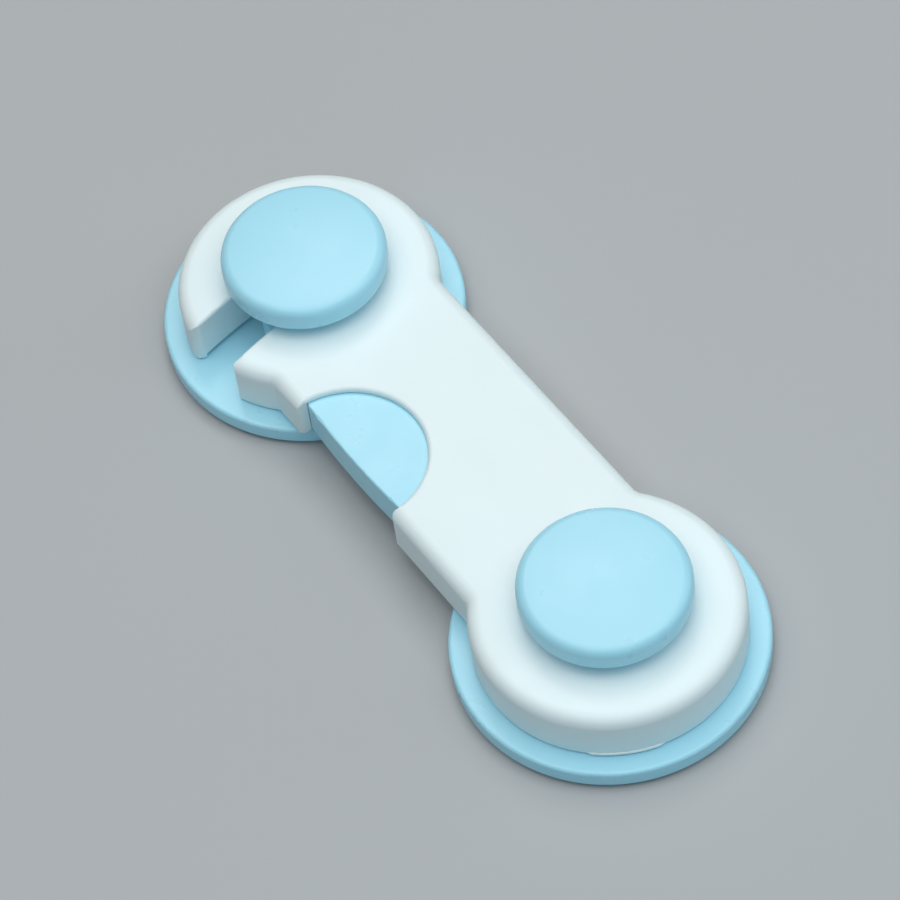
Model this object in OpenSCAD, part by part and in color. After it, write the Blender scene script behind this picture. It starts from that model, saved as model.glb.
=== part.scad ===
// Cabinet safety lock: two stick-on bases joined by a swinging arm.
// The arm turns on the post of the pivot base, and its hook closes over the post of the catch base.
// Pressing the half-moon button draws the latch out of the hook's slot, and the arm can swing off.
// Millimetres. +Z is up, +X runs from the catch base to the pivot base, the button is on the -Y side.

/* [Bases] */
// Distance between the two base centres
centre_distance = 65; // [62:0.5:75]
// Diameter of a base disc
base_d = 40; // [36:0.5:46]
// Thickness of a base disc
base_t = 2.3; // [2.2:0.1:4]
// Rounding of a base disc's upper edge
base_edge_r = 0.5; // [0.3:0.1:2]
// Thickness of an adhesive pad
pad_t = 0.8; // [0.5:0.1:1.5]
// Distance from the disc's edge in to the pad's edge
pad_inset = 1.8; // [0.5:0.1:4]
// Diameter of the post that rises from a base
post_d = 6.8; // [6.4:0.1:7.4]
// Height of the ring round the pivot post that the arm rides on, and depth of the heads' rims
bearing_h = 0.5; // [0.3:0.1:1]

/* [Caps] */
// Diameter of a cap
cap_d = 21.7; // [20:0.1:25]
// Thickness of a cap's rim
cap_rim_t = 4; // [3.5:0.1:5]
// Rounding of a cap's upper edge
cap_edge_r = 1.5; // [0.8:0.1:1.8]
// Rounding of a cap's lower edge
cap_foot_r = 1.2; // [0.3:0.1:1.5]
// Rise of a cap's domed top over its rim
cap_dome_h = 0.5; // [0.3:0.1:1]
// Diameter of the shoulder under a cap
cap_shoulder_d = 16.4; // [13:0.2:17]
// Height of the shoulder under a cap
cap_shoulder_h = 1.2; // [0.6:0.1:3]
// Diameter of the stem that plugs a cap into its post
stem_d = 4; // [3.6:0.1:4.4]

/* [Arm] */
// Width of the arm between its heads
arm_w = 26.2; // [25:0.1:28]
// Diameter of each round head
head_d = 34.4; // [32:0.1:37]
// Thickness of the arm's side walls
wall_t = 1.5; // [1.2:0.1:1.8]
// Thickness of the arm's top skin
skin_t = 0.8; // [0.7:0.1:2]
// Thickness of the cover under the arm
cover_t = 1; // [0.9:0.1:2]
// Rounding of the arm's upper edge
arm_edge_r = 1.8; // [0.6:0.1:2]
// Rounding of the upper edges of the slot and the half-moon
opening_edge_r = 0.6; // [0.2:0.1:0.6]
// Fillet where the straight sides meet the heads
waist_fillet_r = 2.5; // [1:0.1:4]
// Rounding of the wall's ends at the slot's mouth and beside the button
wall_end_r = 0.7; // [0.4:0.1:0.9]

/* [Button and latch] */
// Radius of the half-moon cut-out
moon_r = 10.4; // [9.5:0.1:11]
// Distance from the middle of the arm to the half-moon's centre, towards the catch
moon_offset = 5.4; // [4:0.1:6]
// Distance from the arm's side in to the half-moon's centre
moon_inset = 0.5; // [0:0.1:1]
// Distance from the arm's side in to the middle of the button's front
button_recess = 1.1; // [0.8:0.1:1.5]
// Bow of the button's front, from its ends to its middle
button_bow = 0.4; // [0.2:0.1:0.8]
// Thickness of the button's plate
button_t = 2.7; // [2.4:0.1:3.2]
// Travel of the button, and of the latch that it draws back
press_travel = 5; // [4:0.1:5.5]
// Thickness of the latch's plate
latch_t = 1.6; // [1.4:0.1:2.5]
// Width of the latch's tongue
tongue_w = 4.6; // [3.5:0.1:5]
// Turns of the button's return spring
spring_turns = 7; // [5:1:8]
// Wire diameter of the return spring
spring_wire_d = 0.5; // [0.4:0.05:0.6]

/* [Hidden] */
$fn = 96;

// Named clearances
turn_gap = 0.3;     // arm to bearing ring, and arm to cap
pivot_gap = 0.08;   // pivot post in its bore, all round
slot_gap = 0.4;     // catch post to the slot's walls
seat_gap = 0.45;    // catch post to the round end of the slot
slide_gap = 0.15;   // between sliding faces
fit_gap = 0.15;     // cover in the shell
plug_gap = 0.05;    // stem in its post, screw in its hole
latch_play = 0.6;   // catch post to the tongue
pass_gap = 0.5;     // between pieces that pass each other
overrun = 1;        // how far a cut runs past its face

// Heights, from the pads' undersides up
base_z = pad_t;
base_top_z = base_z + base_t;
rim_z = base_top_z + turn_gap;
arm_z = rim_z + bearing_h;
cover_top_z = arm_z + cover_t;
latch_z = cover_top_z + slide_gap;
latch_top_z = latch_z + latch_t;
plate_z = latch_top_z + slide_gap;
plate_top_z = plate_z + button_t;
skin_z = plate_top_z + slide_gap;
arm_top_z = skin_z + skin_t;
arm_h = arm_top_z - arm_z;
cut_depth = bearing_h + overrun;   // how far a cut runs down past the heads' rims
cap_z = arm_top_z + turn_gap;
cap_rim_z = cap_z + cap_shoulder_h;

// Plan places
catch_x = -centre_distance / 2;
pivot_x = centre_distance / 2;
base_r = base_d / 2;
post_r = post_d / 2;
bearing_w = 2;
bearing_r = post_r + bearing_w;
head_r = head_d / 2;
side_y = arm_w / 2;
inner_y = side_y - wall_t;
moon_x = -moon_offset;
moon_y = -side_y + moon_inset;

// Screws: one up through each base into its cap, four up through the cover
base_screw_r = 1.1;
base_screw_head_r = 2.3;
base_screw_head_h = 1.2;
base_screw_grip = 5;
cover_screw_r = 0.9;
cover_screw_head_r = 1.8;
cover_screw_head_h = 0.8;
cover_screw_grip = 3;
drive_w = 0.5;
drive_depth = 0.5;
boss_r = 2.1;
head_screw_x = (post_r + seat_gap + head_r) / 2;   // midway from the slot's seat to the head's edge
head_screw_y = 4;
waist_screw_x = 12;
waist_screw_y = 6.6;
pivot_screw_x = 19.5;
pivot_screw_y = 7.4;
cover_screw_places = [
    [catch_x - head_screw_x, head_screw_y],
    [catch_x + waist_screw_x, waist_screw_y],
    [pivot_x - pivot_screw_x, pivot_screw_y],
    [pivot_x - pivot_screw_x, -pivot_screw_y]];
stem_end_z = base_top_z + plug_gap;
web_t = base_t - base_screw_head_h - plug_gap;

// Button: a plate under the skin, a skirt across its front, an ear each side and a spring seat behind
button_skirt_t = 1.5;
button_ear_w = 3;
button_ear_l = 3;
button_edge_r = 0.3;
button_cover = 2.2;      // how far the plate runs on under the skin
skirt_lift = 0.5;        // skirt's foot above the arm's underside
seat_w = 6;
seat_t = 1.3;
spigot_r = 1.1;
spigot_l = 1.4;
guide_t = 1.2;
button_y = -side_y + button_recess;
button_half_w = sqrt(moon_r * moon_r - pow(button_recess - moon_inset, 2)) - slide_gap;
bow_r = (button_half_w * button_half_w + button_bow * button_bow) / (2 * button_bow);
skirt_z = arm_z + skirt_lift;
skirt_depth = button_skirt_t + button_bow;
plate_rear_y = moon_y + moon_r + button_cover;
seat_rear_y = plate_rear_y + seat_t;
ear_y = max(-inner_y + slide_gap, button_y + button_bow + plug_gap);

// Latch: a tongue across the slot, a bend round the button's skirt and a tail with a cam pin
tongue_ramp = 2.2;
bend_w = 6;
tail_w = 3.6;
pin_r = 1.2;
pin_end_gap = 0.3;
pin_from_side = 4.2;     // pin's centre in from the plate's edge
groove_web_t = 0.75;     // plate left over the cam groove
tongue_inner_y = -post_r - latch_play;
tongue_outer_y = tongue_inner_y - tongue_w;
slot_r = centre_distance - post_r - slot_gap;
tongue_tip_x = pivot_x - sqrt(slot_r * slot_r - tongue_outer_y * tongue_outer_y) + slide_gap - press_travel;
tongue_end_x = moon_x - button_half_w - button_ear_w - press_travel - pass_gap;
tongue_top_z = skin_z - slide_gap;
bend_end_x = moon_x - button_half_w - press_travel - pass_gap;
bend_x = max(bend_end_x - bend_w, pivot_x - slot_r + wall_t + pass_gap);
tail_y = button_y + skirt_depth + press_travel + pass_gap;
tail_rear_y = tail_y + tail_w;
pin_x = moon_x - button_half_w + pin_from_side;
pin_y = tail_y + tail_w / 2;
groove_depth = button_t - groove_web_t;
tail_end_x = pin_x + tail_w / 2;

// Return spring, between the button's seat and the far wall
spring_r = 1.6;
spring_z = (cover_top_z + skin_z) / 2;
spring_l = inner_y - seat_rear_y - 2 * plug_gap;
spring_wire_r = spring_wire_d / 2;
spring_pitch = (spring_l - spring_wire_d) / spring_turns;
rings_per_turn = 8;
wire_sides = 6;

// Colours
pale_blue = [0.64, 0.87, 0.98];
white = [0.93, 0.96, 0.97];
foam = [0.90, 0.91, 0.90];
steel = [0.72, 0.73, 0.75];

// A half profile to revolve, with its upper outer corner rounded
module rounded_half_profile(r, h, edge_r) {
    square([r - edge_r, h]);
    square([r, h - edge_r]);
    translate([r - edge_r, h - edge_r]) circle(edge_r);
}

module pad(x) {
    translate([x, 0, 0]) cylinder(r = base_r - pad_inset, h = pad_t);
}

// A moulded disc with a hollow post, counterbored from below for its screw, and a bearing ring if asked for
module base(x, ring_h) {
    translate([x, 0, base_z]) difference() {
        union() {
            rotate_extrude() rounded_half_profile(base_r, base_t, base_edge_r);
            if (ring_h > 0)
                cylinder(r = bearing_r, h = base_t + ring_h);
            cylinder(r = post_r, h = cap_z - base_z);
        }
        translate([0, 0, base_t]) cylinder(d = stem_d + 2 * plug_gap, h = cap_z - base_top_z + overrun);
        translate([0, 0, -overrun]) cylinder(r = base_screw_r + plug_gap, h = base_t + 2 * overrun);
        translate([0, 0, -overrun])
            cylinder(r = base_screw_head_r + plug_gap, h = base_screw_head_h + plug_gap + overrun);
    }
}

// A pan-head screw from below, with a cross drive in its head
module base_screw(x) {
    shank_h = web_t + plug_gap + base_screw_grip;
    translate([x, 0, base_z + plug_gap]) difference() {
        union() {
            cylinder(r = base_screw_head_r, h = base_screw_head_h);
            cylinder(r = base_screw_r, h = base_screw_head_h + shank_h);
        }
        cross_drive(base_screw_head_r);
    }
}

module cross_drive(r) {
    for (turn = [0, 90])
        rotate([0, 0, turn])
            translate([-r / 2, -drive_w / 2, -overrun])
                cube([r, drive_w, drive_depth + overrun]);
}

// A cap: rim with rounded edges, shallow dome, shoulder under it and a stem that plugs into the post.
// The dome runs into the rounded edge just outside the circle where the two would be tangent.
dome_lap = 3;   // degrees
module cap(x) {
    cap_r = cap_d / 2;
    crest_r = cap_r - cap_edge_r;
    tangent_dome_r = (crest_r * crest_r + cap_dome_h * cap_dome_h) / (2 * cap_dome_h) + cap_edge_r;
    tangent_angle = asin(crest_r / (tangent_dome_r - cap_edge_r));
    meet_angle = tangent_angle + dome_lap;
    meet_r = crest_r + cap_edge_r * sin(meet_angle);
    meet_h = cap_dome_h + cap_edge_r * (1 - cos(meet_angle));
    dome_r = (meet_r * meet_r + meet_h * meet_h) / (2 * meet_h);
    translate([x, 0, 0]) difference() {
        union() {
            translate([0, 0, cap_z]) cylinder(d = cap_shoulder_d, h = cap_shoulder_h + cap_foot_r);
            translate([0, 0, cap_rim_z]) intersection() {
                translate([0, 0, cap_rim_t + cap_dome_h - dome_r]) sphere(dome_r, $fn = 200);
                union() {
                    rotate_extrude() cap_rim_profile(cap_r);
                    translate([0, 0, cap_foot_r])
                        cylinder(r = crest_r + cap_edge_r * sin(tangent_angle), h = cap_rim_t + cap_dome_h);
                }
            }
            translate([0, 0, stem_end_z]) cylinder(d = stem_d, h = cap_z - stem_end_z + overrun);
        }
        translate([0, 0, stem_end_z - overrun])
            cylinder(r = base_screw_r + plug_gap, h = base_screw_grip + overrun + plug_gap);
    }
}

// Half profile of a cap's rim, rounded above and below
module cap_rim_profile(r) {
    translate([0, cap_foot_r]) rounded_half_profile(r, cap_rim_t - cap_foot_r, cap_edge_r);
    square([r - cap_foot_r, 2 * cap_foot_r]);
    translate([r - cap_foot_r, cap_foot_r]) circle(cap_foot_r);
}

// The arm's plan as a straight-walled block, drawn in from the outline by inset
module arm_plan_block(inset, h) {
    for (x = [catch_x, pivot_x])
        translate([x, 0, 0]) cylinder(r = head_r - inset, h = h);
    translate([catch_x, -side_y + inset, 0]) cube([centre_distance, arm_w - 2 * inset, h]);
}

// The arm's outer form: round heads, a straight bar between them set a little higher, and filleted waists
module arm_block() {
    for (x = [catch_x, pivot_x])
        translate([x, 0, -bearing_h])
            rotate_extrude() rounded_half_profile(head_r, arm_h + bearing_h, arm_edge_r);
    translate([catch_x, 0, 0]) rotate([90, 0, 90]) linear_extrude(centre_distance)
        for (side = [0, 1])
            mirror([side, 0]) rounded_half_profile(side_y, arm_h, arm_edge_r);
    for (end = [0, 1], side = [0, 1])
        mirror([end, 0, 0]) mirror([0, side, 0]) waist_web();
}

// One waist fillet: a corner web with a flared round cut, biting slightly so that it meets both walls
waist_bite_share = 0.985;
module waist_web() {
    bite = waist_fillet_r * waist_bite_share;
    run = sqrt(pow(head_r + bite, 2) - pow(side_y + bite, 2));
    centre = [pivot_x - run, side_y + bite];
    difference() {
        linear_extrude(arm_h) polygon([[pivot_x, 0], centre, [centre.x, 0]]);
        translate([centre.x, centre.y, 0]) flared_round_cut(waist_fillet_r, arm_edge_r);
    }
}

// A round cut right through the arm, whose upper edge flares out and leaves a rounded edge
module flared_round_cut(r, edge_r) {
    rotate_extrude() {
        translate([0, -cut_depth]) square([r, arm_h + cut_depth + overrun]);
        edge_flare(r, edge_r);
    }
}

// Profile of what a rounded edge takes off, outside radius r at the arm's top
module edge_flare(r, edge_r) {
    translate([r, arm_h - edge_r]) difference() {
        square([edge_r, edge_r + overrun]);
        translate([edge_r, 0]) circle(edge_r);
    }
}

// The slot cut through the shell, with rounded upper edges along its seat and its channel
module slot_cut() {
    outer_r = centre_distance + post_r + slot_gap;
    translate([0, 0, -cut_depth]) slot_block(0, arm_h + cut_depth + overrun);
    translate([catch_x, 0, 0]) flared_round_cut(post_r + seat_gap, opening_edge_r);
    intersection() {
        translate([pivot_x, 0, 0]) rotate_extrude($fn = 360) {
            edge_flare(outer_r, opening_edge_r);
            translate([slot_r, 0]) mirror([1, 0]) edge_flare(0, opening_edge_r);
        }
        translate([catch_x - head_r, -head_d, 0]) cube([head_d, head_d, arm_h + overrun]);
    }
}

// The hook's slot: a round seat for the catch post and a channel that follows the arm's swing
module slot_block(extra, h) {
    half_w = post_r + slot_gap + extra;
    translate([catch_x, 0, 0]) cylinder(r = post_r + seat_gap + extra, h = h);
    intersection() {
        translate([pivot_x, 0, 0]) difference() {
            cylinder(r = centre_distance + half_w, h = h, $fn = 360);
            translate([0, 0, -overrun])
                cylinder(r = centre_distance - half_w, h = h + 2 * overrun, $fn = 360);
        }
        translate([catch_x - head_r, -head_d, -overrun]) cube([head_d, head_d, h + 2 * overrun]);
    }
}

// Rounds one end of the outer wall: what lies past a round of wall_end_r set in the corner of two faces.
// The round bites slightly, so that it meets both faces.
corner_reach_share = 1.4;
module wall_end_cut(centre, foot_a, foot_b) {
    past = centre + corner_reach_share * (foot_a + foot_b - 2 * centre);
    translate([0, 0, -cut_depth]) difference() {
        linear_extrude(arm_h + cut_depth + overrun) polygon([centre, foot_a, past, foot_b]);
        translate([centre.x, centre.y, -overrun])
            cylinder(r = wall_end_r, h = arm_h + cut_depth + 3 * overrun);
    }
}

// The wall's ends either side of the slot's mouth
module mouth_ends() {
    inset = wall_end_r * waist_bite_share;
    for (face = [[slot_r, -inset], [centre_distance + post_r + slot_gap, inset]]) {
        from_pivot = face[0] + face[1];
        from_catch = head_r - inset;
        along = (pow(centre_distance, 2) + pow(from_catch, 2) - pow(from_pivot, 2)) / (2 * centre_distance);
        centre = [catch_x + along, -sqrt(pow(from_catch, 2) - along * along)];
        to_pivot = (centre - [pivot_x, 0]) / from_pivot;
        to_catch = (centre - [catch_x, 0]) / from_catch;
        wall_end_cut(centre, [pivot_x, 0] + face[0] * to_pivot, [catch_x, 0] + head_r * to_catch);
    }
}

// The wall's ends either side of the button
module moon_ends() {
    inset = wall_end_r * waist_bite_share;
    half_w = sqrt(pow(moon_r, 2) - pow(moon_inset - inset, 2));
    translate([moon_x, -side_y, 0])
        for (side = [0, 1])
            mirror([side, 0, 0])
                wall_end_cut([half_w + inset, inset], [half_w, inset], [half_w + inset, 0]);
}

// The white upper shell, open below
module arm_shell() {
    rib_top = skin_t / 2;
    color(white) difference() {
        union() {
            translate([0, 0, arm_z]) difference() {
                arm_block();
                translate([0, 0, -cut_depth]) arm_plan_block(wall_t, skin_z - arm_z + cut_depth);
            }
            translate([pivot_x, 0, arm_z])
                cylinder(r = post_r + pivot_gap + wall_t, h = skin_z - arm_z + rib_top);
            translate([0, 0, arm_z]) intersection() {
                slot_block(wall_t, skin_z - arm_z + rib_top);
                translate([catch_x, 0, 0]) cylinder(r = head_r - wall_t / 2, h = arm_h);
            }
            for (place = cover_screw_places)
                translate([place.x, place.y, cover_top_z])
                    cylinder(r = boss_r, h = skin_z - cover_top_z + rib_top);
            button_guides(rib_top);
            tongue_guides(rib_top);
            spring_post();
        }
        translate([0, 0, arm_z]) slot_cut();
        translate([moon_x, moon_y, arm_z]) flared_round_cut(moon_r, opening_edge_r);
        translate([0, 0, arm_z]) mouth_ends();
        translate([0, 0, arm_z]) moon_ends();
        translate([pivot_x, 0, arm_z - overrun])
            cylinder(r = post_r + pivot_gap, h = arm_h + 2 * overrun);
        for (place = cover_screw_places)
            translate([place.x, place.y, cover_top_z - overrun])
                cylinder(r = cover_screw_r + plug_gap, h = cover_screw_grip + overrun);
        tongue_window();
    }
}

// Ribs under the skin, either side of the button's plate
module button_guides(rib_top) {
    guide_y = plate_rear_y - button_cover / 2;
    for (side = [0, 1])
        translate([moon_x, 0, 0]) mirror([side, 0, 0])
            translate([button_half_w + slide_gap, guide_y, plate_z])
                cube([guide_t, press_travel + button_cover, skin_z - plate_z + rib_top]);
}

// Ribs that keep the latch's tongue straight
module tongue_guides(rib_top) {
    guide_x = pivot_x - slot_r;
    guide_l = tongue_end_x - guide_x + press_travel / 2;
    for (y = [tongue_outer_y - slide_gap - guide_t, tongue_inner_y + slide_gap])
        translate([guide_x, y, plate_z]) cube([guide_l, guide_t, skin_z - plate_z + rib_top]);
}

// Peg on the far wall that centres the spring
module spring_post() {
    translate([moon_x, inner_y + wall_t / 2, spring_z]) rotate([90, 0, 0])
        cylinder(r = spigot_r, h = spigot_l + wall_t / 2);
}

// Opening in the slot's wall that the tongue comes out of
module tongue_window() {
    window_x = pivot_x - slot_r - wall_t;
    translate([window_x, tongue_outer_y - slide_gap, cover_top_z])
        cube([2 * wall_t + overrun, tongue_w + 2 * slide_gap, skin_z - cover_top_z]);
}

// The cover that closes the underside, let in flush between the walls and open under the button's skirt
module arm_cover() {
    bay_half_w = button_half_w + slide_gap;
    bay_rear_y = button_y + skirt_depth + press_travel + slide_gap;
    color(white) translate([0, 0, arm_z]) difference() {
        arm_plan_block(wall_t + fit_gap, cover_t);
        translate([moon_x - bay_half_w, -side_y, -overrun])
            cube([2 * bay_half_w, bay_rear_y + side_y, cover_t + 2 * overrun]);
        translate([0, 0, -overrun]) slot_block(wall_t + fit_gap, cover_t + 2 * overrun);
        translate([pivot_x, 0, -overrun])
            cylinder(r = post_r + pivot_gap + wall_t + fit_gap, h = cover_t + 2 * overrun);
        for (place = cover_screw_places)
            translate([place.x, place.y, 0]) cover_screw_hole();
    }
}

module cover_screw_hole() {
    translate([0, 0, -overrun]) cylinder(r = cover_screw_r + plug_gap, h = cover_t + 2 * overrun);
    cylinder(r1 = cover_screw_head_r + plug_gap, r2 = cover_screw_r + plug_gap, h = cover_screw_head_h);
}

// Four countersunk screws, flush with the cover
module cover_screws() {
    color(steel) for (place = cover_screw_places)
        translate([place.x, place.y, arm_z]) difference() {
            union() {
                cylinder(r1 = cover_screw_head_r, r2 = cover_screw_r, h = cover_screw_head_h);
                cylinder(r = cover_screw_r, h = cover_t + cover_screw_grip - plug_gap);
            }
            cross_drive(cover_screw_head_r);
        }
}

// The half-moon button: its front closes the cut-out, and a blind cam groove below draws the latch
module release_button() {
    color(pale_blue) difference() {
        union() {
            button_front();
            translate([moon_x - button_half_w, button_y + skirt_depth / 2, plate_z])
                cube([2 * button_half_w, plate_rear_y - button_y - skirt_depth / 2, button_t]);
            for (side = [0, 1])
                translate([moon_x, ear_y, plate_z]) mirror([side, 0, 0])
                    cube([button_half_w + button_ear_w, button_ear_l, button_t]);
            translate([moon_x - seat_w / 2, plate_rear_y - overrun, latch_z])
                cube([seat_w, seat_t + overrun, plate_top_z - latch_z]);
            translate([moon_x, seat_rear_y - seat_t / 2, spring_z]) rotate([-90, 0, 0])
                cylinder(r = spigot_r, h = spigot_l + seat_t / 2);
        }
        cam_groove();
    }
}

// The button's bowed skirt, with its upper edge rounded
module button_front() {
    skirt_h = plate_top_z - skirt_z;
    intersection() {
        translate([moon_x, button_y + bow_r, skirt_z]) rotate_extrude($fn = 360)
            translate([bow_r - button_skirt_t, 0])
                rounded_half_profile(button_skirt_t, skirt_h, button_edge_r);
        translate([moon_x - button_half_w, button_y - overrun, skirt_z])
            cube([2 * button_half_w, skirt_depth + 2 * overrun, skirt_h]);
    }
}

// A groove at 45 degrees, so that each millimetre of press draws the latch back by one
module cam_groove() {
    groove_r = pin_r + slide_gap;
    translate([pin_x, pin_y, plate_z - overrun]) {
        cylinder(r = groove_r, h = groove_depth + overrun);
        translate([press_travel, -press_travel, 0]) cylinder(r = groove_r, h = groove_depth + overrun);
        rotate([0, 0, -45]) translate([0, -groove_r, 0])
            cube([press_travel * sqrt(2), 2 * groove_r, groove_depth + overrun]);
    }
}

// The latch: a tall ramped tongue, a low bend and tail, and the pin that rides in the cam groove
module latch_bolt() {
    color(pale_blue) {
        translate([0, 0, latch_z]) linear_extrude(tongue_top_z - latch_z) polygon([
            [tongue_tip_x, tongue_inner_y],
            [tongue_tip_x, tongue_outer_y + tongue_ramp],
            [tongue_tip_x + tongue_ramp, tongue_outer_y],
            [tongue_end_x, tongue_outer_y],
            [tongue_end_x, tongue_inner_y]]);
        translate([0, 0, latch_z]) linear_extrude(latch_t) polygon([
            [bend_x, tongue_outer_y],
            [bend_end_x, tongue_outer_y],
            [bend_end_x, tail_y],
            [tail_end_x, tail_y],
            [tail_end_x, tail_rear_y],
            [bend_x, tail_rear_y]]);
        translate([pin_x, pin_y, latch_z])
            cylinder(r = pin_r, h = latch_t + slide_gap + groove_depth - pin_end_gap);
    }
}

// A round wire swept along a helix, from the button's seat to the far wall
function helix_point(turn) =
    [spring_r * cos(360 * turn), spring_r * sin(360 * turn), spring_wire_r + spring_pitch * turn];
function helix_ring(turn) =
    let (centre = helix_point(turn))
    [for (i = [0 : wire_sides - 1])
        let (a = 360 * i / wire_sides)
        [centre.x + spring_wire_r * cos(a) * cos(360 * turn),
         centre.y + spring_wire_r * cos(a) * sin(360 * turn),
         centre.z + spring_wire_r * sin(a)]];
spring_rings = spring_turns * rings_per_turn;
spring_points = [for (i = [0 : spring_rings]) each helix_ring(i / rings_per_turn)];
spring_faces = concat(
    [for (i = [0 : spring_rings - 1], s = [0 : wire_sides - 1])
        let (a = i * wire_sides + s, b = i * wire_sides + (s + 1) % wire_sides)
        each [[a, a + wire_sides, b], [b, a + wire_sides, b + wire_sides]]],
    [for (s = [1 : wire_sides - 2]) [0, s, s + 1]],
    [for (s = [1 : wire_sides - 2])
        let (last = spring_rings * wire_sides)
        [last, last + s + 1, last + s]]);
coil_distances = [for (i = [0 : spring_rings - rings_per_turn])
    norm(helix_point((i + rings_per_turn) / rings_per_turn) - helix_point(i / rings_per_turn))];
spring_self_gap = min(coil_distances) - spring_wire_d;
echo(spring_self_gap = spring_self_gap);

module button_spring() {
    color(steel) translate([moon_x, seat_rear_y + plug_gap, spring_z]) rotate([-90, 0, 0])
        polyhedron(spring_points, spring_faces);
}

module pivot_pad() { color(foam) pad(pivot_x); }
module pivot_base() { color(pale_blue) base(pivot_x, bearing_h); }
module pivot_screw() { color(steel) base_screw(pivot_x); }
module pivot_cap() { color(pale_blue) cap(pivot_x); }
module catch_pad() { color(foam) pad(catch_x); }
module catch_base() { color(pale_blue) base(catch_x, 0); }
module catch_screw() { color(steel) base_screw(catch_x); }
module catch_cap() { color(pale_blue) cap(catch_x); }

pivot_pad();
pivot_base();
pivot_screw();
pivot_cap();
catch_pad();
catch_base();
catch_screw();
catch_cap();
arm_shell();
arm_cover();
cover_screws();
release_button();
button_spring();
latch_bolt();
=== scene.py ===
import math

import bpy
from mathutils import Matrix, Vector, noise


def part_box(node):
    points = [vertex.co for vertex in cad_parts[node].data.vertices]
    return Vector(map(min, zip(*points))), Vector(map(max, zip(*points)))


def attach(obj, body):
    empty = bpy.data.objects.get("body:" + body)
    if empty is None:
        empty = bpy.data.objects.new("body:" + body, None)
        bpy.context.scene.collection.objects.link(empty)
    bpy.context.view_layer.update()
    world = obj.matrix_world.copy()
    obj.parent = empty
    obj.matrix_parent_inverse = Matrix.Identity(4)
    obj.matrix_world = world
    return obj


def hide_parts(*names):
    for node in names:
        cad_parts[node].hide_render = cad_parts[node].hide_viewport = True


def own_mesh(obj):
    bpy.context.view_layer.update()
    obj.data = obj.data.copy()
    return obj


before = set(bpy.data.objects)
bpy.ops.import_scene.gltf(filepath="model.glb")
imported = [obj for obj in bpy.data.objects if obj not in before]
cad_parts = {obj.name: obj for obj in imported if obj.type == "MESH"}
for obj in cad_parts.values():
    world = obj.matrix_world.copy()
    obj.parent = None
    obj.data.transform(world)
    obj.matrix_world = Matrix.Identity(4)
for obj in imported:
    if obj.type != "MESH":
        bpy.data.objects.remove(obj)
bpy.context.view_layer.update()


# Adhesive pads: two discs of closed-cell foam tape, die-cut and stuck under the bases.
# The knife leaves a slightly barrelled edge with its cells cut open, and a tacky film
# covers the underside, which holds the lock to the door.
mm = 0.001
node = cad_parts
pad_columns = 900
pad_rows = 9
pad_barrel = 0.10 * mm
pad_cell = 0.35 * mm
pad_cell_depth = 0.07 * mm
film_low = 0.01 * mm
film_high = 0.04 * mm
film_roughness = 0.38
foam_roughness = 0.9


def ring_skin(name, rings):
    """A closed mesh over successive rings of points, with a flat face on each end."""
    count = len(rings[0])
    points = [point for ring in rings for point in ring]
    faces = []
    for row in range(len(rings) - 1):
        for column in range(count):
            following = (column + 1) % count
            faces.append((row * count + column, row * count + following,
                          (row + 1) * count + following, (row + 1) * count + column))
    faces.append(tuple(reversed(range(count))))
    faces.append(tuple(range(len(points) - count, len(points))))
    mesh = bpy.data.meshes.new(name)
    mesh.from_pydata(points, [], faces)
    mesh.polygons.foreach_set("use_smooth", [True] * len(faces))
    piece = bpy.data.objects.new(name, mesh)
    bpy.context.scene.collection.objects.link(piece)
    return piece


def foam_disc(name, low, high):
    """A die-cut foam disc between two corners, barrelled at its edge and pitted with cut cells."""
    centre = (low + high) / 2
    radius = (high.x - low.x) / 2
    rings = []
    for row in range(pad_rows):
        share = row / (pad_rows - 1)
        height = low.z + share * (high.z - low.z)
        barrel = pad_barrel * (2 * share - 1) ** 2
        ring = []
        for column in range(pad_columns):
            turn = 2 * math.pi * column / pad_columns
            outward = Vector((math.cos(turn), math.sin(turn), 0))
            place = Vector((centre.x, centre.y, height)) + outward * radius
            pit = pad_cell_depth * max(0, noise.noise(place / pad_cell))
            ring.append(place - outward * (barrel + pit))
        rings.append(ring)
    return ring_skin(name, rings)


def new_material(name, roughness, specular=0.5):
    """A new material, its node tree and its Principled shader."""
    material = bpy.data.materials.new(name)
    material.use_nodes = True
    shader = material.node_tree.nodes["Principled BSDF"]
    shader.inputs["Roughness"].default_value = roughness
    shader.inputs["Specular IOR Level"].default_value = specular
    return material, material.node_tree, shader


def dress(piece, material):
    """Gives a piece one material in place of whatever it came with."""
    piece.data.materials.clear()
    piece.data.materials.append(material)


def texture_places(tree, stretch=(1, 1, 1)):
    """Places on the piece itself, in metres, stretched along its axes."""
    places = tree.nodes.new("ShaderNodeTexCoord")
    mapping = tree.nodes.new("ShaderNodeMapping")
    mapping.inputs["Scale"].default_value = stretch
    tree.links.new(places.outputs["Object"], mapping.inputs["Vector"])
    return mapping.outputs["Vector"]


def graded(tree, value, low, high, bottom, top):
    """A value taken from one range to another, and held at its ends."""
    grade = tree.nodes.new("ShaderNodeMapRange")
    for socket, number in zip(("From Min", "From Max", "To Min", "To Max"), (low, high, bottom, top)):
        grade.inputs[socket].default_value = number
    tree.links.new(value, grade.inputs["Value"])
    return grade.outputs["Result"]


def noise_value(tree, scale, detail, stretch=(1, 1, 1)):
    """Cloudy noise on the piece, from about 0.2 to 0.8."""
    cloud = tree.nodes.new("ShaderNodeTexNoise")
    cloud.inputs["Scale"].default_value = scale
    cloud.inputs["Detail"].default_value = detail
    tree.links.new(texture_places(tree, stretch), cloud.inputs["Vector"])
    return cloud.outputs["Fac"]


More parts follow.
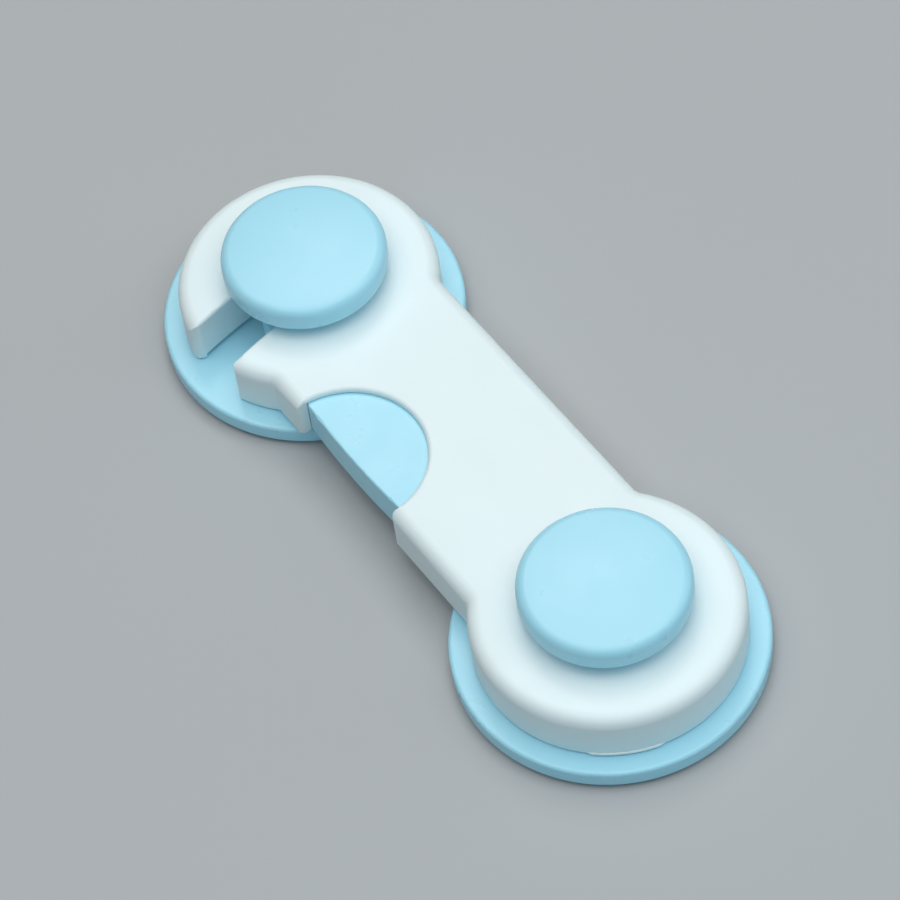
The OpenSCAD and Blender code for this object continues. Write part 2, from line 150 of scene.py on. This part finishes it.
def combined(tree, first, second, operation="ADD"):
    """Two values added, or put together by another operation."""
    joiner = tree.nodes.new("ShaderNodeMath")
    joiner.operation = operation
    tree.links.new(first, joiner.inputs[0])
    tree.links.new(second, joiner.inputs[1])
    return joiner.outputs["Value"]


def raised(tree, shader, height, strength, distance):
    """Bumps the surface by a height."""
    bump = tree.nodes.new("ShaderNodeBump")
    bump.inputs["Strength"].default_value = strength
    bump.inputs["Distance"].default_value = distance
    tree.links.new(height, bump.inputs["Height"])
    tree.links.new(bump.outputs["Normal"], shader.inputs["Normal"])


foam, tree, shader = new_material("closed_cell_foam", foam_roughness, specular=0.25)
cells = tree.nodes.new("ShaderNodeTexVoronoi")
cells.inputs["Scale"].default_value = 1 / pad_cell
tree.links.new(texture_places(tree), cells.inputs["Vector"])
tone = tree.nodes.new("ShaderNodeValToRGB")
tone.color_ramp.elements[0].color = (0.56, 0.57, 0.56, 1)
tone.color_ramp.elements[1].color = (0.80, 0.81, 0.79, 1)
mottle = combined(tree, cells.outputs["Distance"], noise_value(tree, scale=120, detail=3), "MULTIPLY")
tree.links.new(mottle, tone.inputs["Fac"])
tree.links.new(tone.outputs["Color"], shader.inputs["Base Color"])
height_of = tree.nodes.new("ShaderNodeSeparateXYZ")
tree.links.new(texture_places(tree), height_of.inputs["Vector"])
film_gloss = graded(tree, height_of.outputs["Z"], film_low, film_high, film_roughness, foam_roughness)
patchy = graded(tree, noise_value(tree, scale=300, detail=2), low=0.3, high=0.7, bottom=-0.06, top=0.06)
tree.links.new(combined(tree, film_gloss, patchy), shader.inputs["Roughness"])
raised(tree, shader, cells.outputs["Distance"], strength=0.5, distance=0.05 * mm)
for name in ("pivot_pad", "catch_pad"):
    pad = foam_disc(name + "_foam", *(Vector(corner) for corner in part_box(name)))
    dress(pad, foam)
    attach(pad, "bases")
    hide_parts(name)


# Base mouldings: a flat round foot and a hollow post in one pale blue moulding.
# The pivot's base also has a bearing ring, on which the arm turns. The foam holds the foot
# to the door, and a screw from below draws a cap down onto the post.
base_edge = 0.2 * mm
weld_gap = 0.002 * mm
flat_angle = math.radians(0.5)
sharp_angle = math.radians(40)
wave_depth = 0.02 * mm
rub_dulling = 0.03
rubs_along = (30, 700, 300)
rubs_across = (700, 30, 300)


def moulded_skin_group():
    """How a moulded face varies: clouded pigment, slight waves, and faint rubs from handling."""
    group = bpy.data.node_groups.new("moulded_skin", "ShaderNodeTree")
    for name, way, kind in (
            ("Colour", "INPUT", "NodeSocketColor"),
            ("Deep colour", "INPUT", "NodeSocketColor"),
            ("Roughness", "INPUT", "NodeSocketFloat"),
            ("Colour", "OUTPUT", "NodeSocketColor"),
            ("Roughness", "OUTPUT", "NodeSocketFloat"),
            ("Height", "OUTPUT", "NodeSocketFloat")):
        group.interface.new_socket(name, in_out=way, socket_type=kind)
    given = group.nodes.new("NodeGroupInput")
    out = group.nodes.new("NodeGroupOutput")

    pigment = group.nodes.new("ShaderNodeMix")
    pigment.data_type = "RGBA"
    clouds = noise_value(group, scale=60, detail=4)
    group.links.new(graded(group, clouds, low=0.35, high=0.75, bottom=0, top=0.5), pigment.inputs["Factor"])
    group.links.new(given.outputs["Colour"], pigment.inputs["A"])
    group.links.new(given.outputs["Deep colour"], pigment.inputs["B"])
    group.links.new(pigment.outputs["Result"], out.inputs["Colour"])

    dulled = []
    for stretch in (rubs_along, rubs_across):
        rubbed = noise_value(group, scale=1, detail=2, stretch=stretch)
        dulled.append(graded(group, rubbed, low=0.45, high=0.95, bottom=0, top=rub_dulling))
    patches = noise_value(group, scale=240, detail=3)
    uneven = graded(group, patches, low=0.3, high=0.7, bottom=-0.04, top=0.05)
    varied = combined(group, combined(group, *dulled), uneven)
    group.links.new(combined(group, varied, given.outputs["Roughness"]), out.inputs["Roughness"])
    group.links.new(noise_value(group, scale=420, detail=2), out.inputs["Height"])
    return group


def moulded_plastic(name, colour, deep_colour, roughness, wave):
    """A smooth moulded plastic with the skin's variation in its colour, gloss and surface."""
    material, tree, shader = new_material(name, roughness)
    skin = tree.nodes.new("ShaderNodeGroup")
    skin.node_tree = moulded_skin
    skin.inputs["Colour"].default_value = colour
    skin.inputs["Deep colour"].default_value = deep_colour
    skin.inputs["Roughness"].default_value = roughness
    tree.links.new(skin.outputs["Colour"], shader.inputs["Base Color"])
    tree.links.new(skin.outputs["Roughness"], shader.inputs["Roughness"])
    raised(tree, shader, skin.outputs["Height"], wave, wave_depth)
    return material


def soften_edges(piece, width, segments=3, trim=None):
    """Rounds off the sharp edges of a moulded piece, after any trim by another shape."""
    weld = piece.modifiers.new("joined_faces", "WELD")
    weld.merge_threshold = weld_gap
    if trim:
        cut = piece.modifiers.new("trimmed", "BOOLEAN")
        cut.operation = "DIFFERENCE"
        cut.solver = "EXACT"
        cut.object = trim
    flat = piece.modifiers.new("whole_faces", "DECIMATE")
    flat.decimate_type = "DISSOLVE"
    flat.angle_limit = flat_angle
    bevel = piece.modifiers.new("soft_edges", "BEVEL")
    bevel.width = width
    bevel.segments = segments
    bevel.limit_method = "ANGLE"
    bevel.angle_limit = sharp_angle
    bevel.miter_outer = "MITER_ARC"
    normals = piece.modifiers.new("even_shading", "WEIGHTED_NORMAL")
    normals.keep_sharp = False


moulded_skin = moulded_skin_group()
blue_plastic = moulded_plastic(
    "pale_blue_moulding", colour=(0.43, 0.82, 0.97, 1), deep_colour=(0.39, 0.79, 0.96, 1),
    roughness=0.30, wave=0.25)
for name in ("pivot_base", "catch_base"):
    dress(node[name], blue_plastic)
    soften_edges(node[name], base_edge)


# Base screws: pan-head steel screws with a cross drive, plated with bright zinc.
# One comes up through each base and grips the stem of its cap, hidden by the foam.
steel, tree, shader = new_material("zinc_plated_steel", roughness=0.32)
shader.inputs["Metallic"].default_value = 1
tint = tree.nodes.new("ShaderNodeValToRGB")
tint.color_ramp.elements[0].color = (0.50, 0.52, 0.55, 1)
tint.color_ramp.elements[1].color = (0.70, 0.69, 0.66, 1)
tree.links.new(noise_value(tree, scale=700, detail=4), tint.inputs["Fac"])
tree.links.new(tint.outputs["Color"], shader.inputs["Base Color"])
turned = noise_value(tree, scale=1, detail=2, stretch=(500, 500, 9000))
turned_gloss = graded(tree, turned, low=0.3, high=0.7, bottom=0.22, top=0.42)
tree.links.new(turned_gloss, shader.inputs["Roughness"])
raised(tree, shader, turned, strength=0.2, distance=0.01 * mm)
for name in ("pivot_screw", "catch_screw"):
    dress(node[name], steel)


# Latch bolt: a blue moulding with a ramped tongue that crosses the hook's slot.
# It slides on the cover, and its pin rides in the groove under the button.
latch_edge = 0.2 * mm
dress(node["latch_bolt"], blue_plastic)
soften_edges(node["latch_bolt"], latch_edge)


# Return spring: round spring wire, coiled from the button's seat to the far wall.
# The real spring shortens as the button goes in, but this coil is built at one length; its end turns are
# wound flat.
spring_low, spring_high = (Vector(corner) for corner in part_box("button_spring"))
spring_length = spring_high.y - spring_low.y
spring_wire = 0.5 * mm
spring_turns = 7
spring_flat_share = 0.1
spring_flat_climb = 0.06
spring_sides = 14
spring_steps = 26


def coil_of_wire(name):
    """Round wire along a helix whose first and last turns lie flat."""
    middle = (spring_low + spring_high) / 2
    coil_r = (spring_high.x - spring_low.x - spring_wire) / 2
    rings = []
    count = spring_turns * spring_steps
    for step in range(count + 1):
        share = step / count
        climb = min(1, max(0, (share - spring_flat_share) / (1 - 2 * spring_flat_share)))
        turn = 2 * math.pi * spring_turns * share
        rise = spring_flat_climb * share + (1 - spring_flat_climb) * climb
        along = spring_low.y + spring_wire / 2 + (spring_length - spring_wire) * rise
        outward = Vector((math.cos(turn), 0, math.sin(turn)))
        centre = Vector((middle.x, along, middle.z)) + outward * coil_r
        ring = []
        for side in range(spring_sides):
            around = 2 * math.pi * side / spring_sides
            sideways = outward * math.cos(around) + Vector((0, math.sin(around), 0))
            ring.append(centre + sideways * spring_wire / 2)
        rings.append(ring)
    return ring_skin(name, rings)


spring = coil_of_wire("return_spring")
dress(spring, steel)
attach(spring, "arm")
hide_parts("button_spring")
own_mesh(spring)


# Release button: a blue half-moon plate with a bowed skirt for the thumb.
# It slides in under the arm's skin, and a groove in its underside draws the latch back.
button_edge = 0.15 * mm
dress(node["release_button"], blue_plastic)
soften_edges(node["release_button"], button_edge)


# Arm shell: one white moulding with two round heads, open below, with a slot and a half-moon cut.
# One head turns on the pivot's post, and the other hooks over the catch's post with its slot.
# The hook's tip is well rounded, and the cover closes the shell from below.
white_plastic = moulded_plastic(
    "white_moulding", colour=(0.83, 0.95, 0.97, 1), deep_colour=(0.81, 0.94, 0.96, 1),
    roughness=0.42, wave=0.25)
dress(node["arm_shell"], white_plastic)
shell_edge = 0.25 * mm
tip_r = 1.2 * mm
tip_bite = 0.97
tip_steps = 20
tip_clear = 2 * tip_r
corner_clear = 2.5 * tip_r
slot_outer_r = 68.8 * mm
arm_low, arm_high = (Vector(corner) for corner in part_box("arm_shell"))
head_r = (arm_high.y - arm_low.y) / 2
pivot = Vector((arm_high.x - head_r, (arm_low.y + arm_high.y) / 2))
catch = Vector((arm_low.x + head_r, pivot.y))
span = pivot.x - catch.x
# The round's centre lies a little less than its radius from the slot's wall and from the
# head's rim, so that the cut runs out past both.
from_pivot = slot_outer_r + tip_bite * tip_r
from_catch = head_r - tip_bite * tip_r
along = (span ** 2 + from_catch ** 2 - from_pivot ** 2) / (2 * span)
tip = catch + Vector((along, -math.sqrt(from_catch ** 2 - along ** 2)))
to_slot = (pivot - tip).normalized()
to_rim = (tip - catch).normalized()
first = math.atan2(to_slot.y, to_slot.x)
sweep = math.atan2(to_rim.y, to_rim.x) - first
outline = []
for step in range(tip_steps + 1):
    turn = first + sweep * step / tip_steps
    outline.append(tip + Vector((math.cos(turn), math.sin(turn))) * tip_r)
outline += [tip + to_rim * tip_clear, tip + (to_slot + to_rim) * corner_clear, tip + to_slot * tip_clear]
tip_trim = ring_skin("hook_tip_trim", [
    [Vector((point.x, point.y, height)) for point in outline]
    for height in (arm_low.z - tip_r, arm_high.z + tip_r)])
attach(tip_trim, "arm")
tip_trim.hide_render = True
soften_edges(node["arm_shell"], shell_edge, trim=tip_trim)


# Flash: a thin lip of white plastic that the mould left along the foot of the pivot head.
# It is part of the arm's moulding, too thin to be worth a size in the part itself.
flash_from = math.radians(-46)
flash_to = math.radians(-14)
flash_reach = 0.25 * mm
flash_height = 0.28 * mm
flash_steps = 60
flash_taper = 0.06
flash_sunk = 0.25 * mm
flash_least = 0.1
flash_lift = 0.01 * mm
ragged_share = 0.25
ragged_rate = 40
flash_points = []
for step in range(flash_steps + 1):
    share = step / flash_steps
    turn = flash_from + share * (flash_to - flash_from)
    outward = Vector((math.cos(turn), math.sin(turn), 0))
    taper = min(1, share / flash_taper, (1 - share) / flash_taper)
    ragged = 1 + ragged_share * noise.noise(Vector((ragged_rate * share, 0, 0)))
    edge_r = head_r + flash_reach * ragged * (flash_least + (1 - flash_least) * taper)
    inner_r = head_r - flash_sunk
    low = arm_low.z + flash_lift
    middle = low + flash_height / 2
    high = low + flash_height
    flash_points.append([
        pivot.to_3d() + outward * radius + Vector((0, 0, height))
        for radius, height in ((inner_r, low), (edge_r, low), (edge_r, middle), (inner_r, high))])
flash = ring_skin("pivot_head_flash", flash_points)
dress(flash, white_plastic)
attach(flash, "arm")


# Arm cover: a white plate let in flush between the shell's walls, held by four countersunk screws.
# It carries the latch and is open under the button's skirt.
cover_edge = 0.2 * mm
dress(node["arm_cover"], white_plastic)
soften_edges(node["arm_cover"], cover_edge, segments=2)
dress(node["cover_screws"], steel)


# Caps: blue buttons with a shallow dome and a rounded rim, plugged into the posts by their stems.
# They keep the arm down on the pivot post, and hide the catch post.
cap_edge = 0.15 * mm
for name in ("pivot_cap", "catch_cap"):
    dress(node[name], blue_plastic)
    soften_edges(node[name], cap_edge, segments=2)


# Studio: a plain pale floor, a wide softbox and a small lamp overhead, a small lamp behind,
# and two weak cool fills, from the right and the front. The camera stands where the
# photograph was taken from.
floor_mesh = bpy.data.meshes.new("floor")
floor_reach = 4.0
floor_drop = 0.05 * mm
floor_corners = [(x * floor_reach, y * floor_reach, 0) for x, y in ((-1, -1), (1, -1), (1, 1), (-1, 1))]
floor_mesh.from_pydata(floor_corners, [], [(0, 1, 2, 3)])
floor = bpy.data.objects.new("floor", floor_mesh)
floor.location.z = -floor_drop
bpy.context.scene.collection.objects.link(floor)
paper, tree, shader = new_material("pale_floor", roughness=0.9, specular=0.1)
shader.inputs["Base Color"].default_value = (0.47, 0.49, 0.50, 1)
dress(floor, paper)

view_azimuth = math.radians(61.84)
view_elevation = math.radians(54.85)
view_roll = math.radians(-8.89)
view_distance = 484.26 * mm
view_lens = 152.3
aim = Vector((-1.23, 0, 5.0)) * mm
toward = Vector((math.sin(view_azimuth) * math.cos(view_elevation),
                 -math.cos(view_azimuth) * math.cos(view_elevation), math.sin(view_elevation)))
level = Vector((math.cos(view_azimuth), math.sin(view_azimuth), 0))
lift = toward.cross(level)
right = level * math.cos(view_roll) + lift * math.sin(view_roll)
up = toward.cross(right)
ahead = Vector((-toward.x, -toward.y, 0)).normalized()
overhead = Vector((0, 0, 1))


def place_light(name, direction, distance, size, power, colour):
    """A square area lamp that faces the object."""
    lamp = bpy.data.lights.new(name, "AREA")
    lamp.size = size
    lamp.energy = power
    lamp.color = colour
    light = bpy.data.objects.new(name, lamp)
    facing = direction.to_track_quat("Z", "Y").to_matrix().to_4x4()
    light.matrix_world = Matrix.Translation(direction.normalized() * distance) @ facing
    bpy.context.scene.collection.objects.link(light)


fill_out = 0.85
fill_rise = 0.5
from_right = level * fill_out + overhead * fill_rise
from_front = overhead * fill_rise - ahead * fill_out
mirrored_view = ahead * toward.xy.length + overhead * toward.z
place_light("overhead_softbox", overhead, distance=0.8, size=1.1, power=7.0, colour=(0.98, 0.97, 0.96))
place_light("overhead_lamp", overhead, distance=0.8, size=0.2, power=0.3, colour=(0.98, 0.97, 0.96))
place_light("back_lamp", mirrored_view, distance=0.9, size=0.3, power=0.65, colour=(1, 1, 1))
place_light("right_fill", from_right, distance=0.9, size=0.7, power=1.2, colour=(0.7, 0.9, 1))
place_light("front_fill", from_front, distance=0.9, size=0.7, power=1.1, colour=(0.4, 0.8, 1))
world = bpy.data.worlds.new("soft_room")
world.use_nodes = True
glow = world.node_tree.nodes["Background"]
glow.inputs["Color"].default_value = (0.97, 0.98, 1, 1)
glow.inputs["Strength"].default_value = 0.04
bpy.context.scene.world = world

camera = bpy.data.objects.new("camera", bpy.data.cameras.new("camera"))
camera.data.lens = view_lens
camera.data.sensor_width = 36
camera.data.clip_start = 0.01
facing = Matrix((right, up, toward)).transposed().to_4x4()
camera.matrix_world = Matrix.Translation(aim + toward * view_distance) @ facing
bpy.context.scene.collection.objects.link(camera)
bpy.context.scene.camera = camera
bpy.context.scene.view_settings.view_transform = "Standard"
